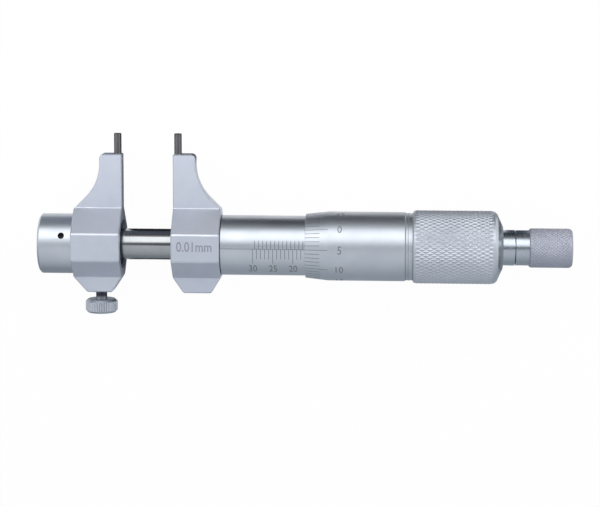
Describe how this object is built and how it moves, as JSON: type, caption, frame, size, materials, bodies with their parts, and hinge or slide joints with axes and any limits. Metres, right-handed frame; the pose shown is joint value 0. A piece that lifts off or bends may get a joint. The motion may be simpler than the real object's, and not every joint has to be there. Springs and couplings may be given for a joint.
{
  "type": "inside micrometer",
  "caption": "Caliper-type inside micrometer: measuring pins on two jaws, scale sleeve, knurled thimble with ratchet, and a lock screw under the sliding jaw.",
  "frame": {"origin": "on the instrument's axis, in the plane of the fixed jaw's inner face", "axes": "+X along the axis towards the ratchet, +Y along the jaws' arms towards the measuring pins, +Z out of the side with the scale; the instrument lies on its back, on -Z"},
  "size_m": [0.1335, 0.0454, 0.0184],
  "materials": {
    "satin_chrome": "satin chrome plate on steel",
    "polished_steel": "ground and polished hardened steel",
    "carbide": "ground carbide, dark grey",
    "plain_steel": "turned steel, bare",
    "blackened_steel": "blackened steel",
    "spring_steel": "spring wire, bare",
    "brass": "turned brass"
  },
  "bodies": {
    "frame": {"fixed_jaw": "satin_chrome", "fixed_pin": "carbide", "barrel": "plain_steel", "scale_sleeve": "satin_chrome", "adjusting_nut": "plain_steel", "guide_key": "plain_steel", "key_screw": "blackened_steel", "barrel_set_screw": "blackened_steel"},
    "carriage": {"moving_jaw": "satin_chrome", "moving_pin": "carbide", "guide_tube": "polished_steel", "tube_nut": "plain_steel", "end_cap": "satin_chrome", "left_thrust_washer": "plain_steel", "right_thrust_washer": "plain_steel", "tube_set_screw": "blackened_steel"},
    "thimble": {"spindle": "polished_steel", "spindle_nut": "plain_steel", "thimble": "satin_chrome", "ratchet_carrier": "satin_chrome", "ratchet_spring": "spring_steel", "stop_screw": "blackened_steel"},
    "ratchet_wheel": {"ratchet_wheel": "polished_steel"},
    "ratchet_knob": {"ratchet_knob": "satin_chrome"},
    "lock_shoe": {"lock_shoe": "brass"},
    "lock_screw": {"lock_screw": "satin_chrome"}
  },
  "joints": [
    {"name": "jaw_travel", "type": "slide", "parent": "frame", "child": "carriage", "axis": [1, 0, 0], "range_m": [-0.01295, 0.01205]},
    {"name": "thimble_turn", "type": "hinge", "parent": "carriage", "child": "thimble", "pos_m": [0, 0, 0], "axis": [1, 0, 0], "range_deg": [-9324, 8676]},
    {"name": "ratchet_travel", "type": "slide", "parent": "thimble", "child": "ratchet_wheel", "axis": [1, 0, 0], "range_m": [0, 0.0006], "stiffness_N_per_m": 800, "springref_m": -0.002, "deforming": ["ratchet_spring"]},
    {"name": "ratchet_turn", "type": "hinge", "parent": "thimble", "child": "ratchet_knob", "pos_m": [0.09, 0, 0], "axis": [1, 0, 0], "continuous": true},
    {"name": "lock_travel", "type": "slide", "parent": "carriage", "child": "lock_shoe", "axis": [0, 1, 0], "range_m": [-0.0005, 0.000125]},
    {"name": "lock_turn", "type": "hinge", "parent": "lock_shoe", "child": "lock_screw", "pos_m": [-0.01851, 0, 0], "axis": [0, 1, 0], "range_deg": [-360, 90]}
  ],
  "couplings": [
    {"joint": "thimble_turn", "follows": "jaw_travel", "rad_per_m": 12566},
    {"joint": "lock_turn", "follows": "lock_travel", "rad_per_m": 12566}
  ]
}
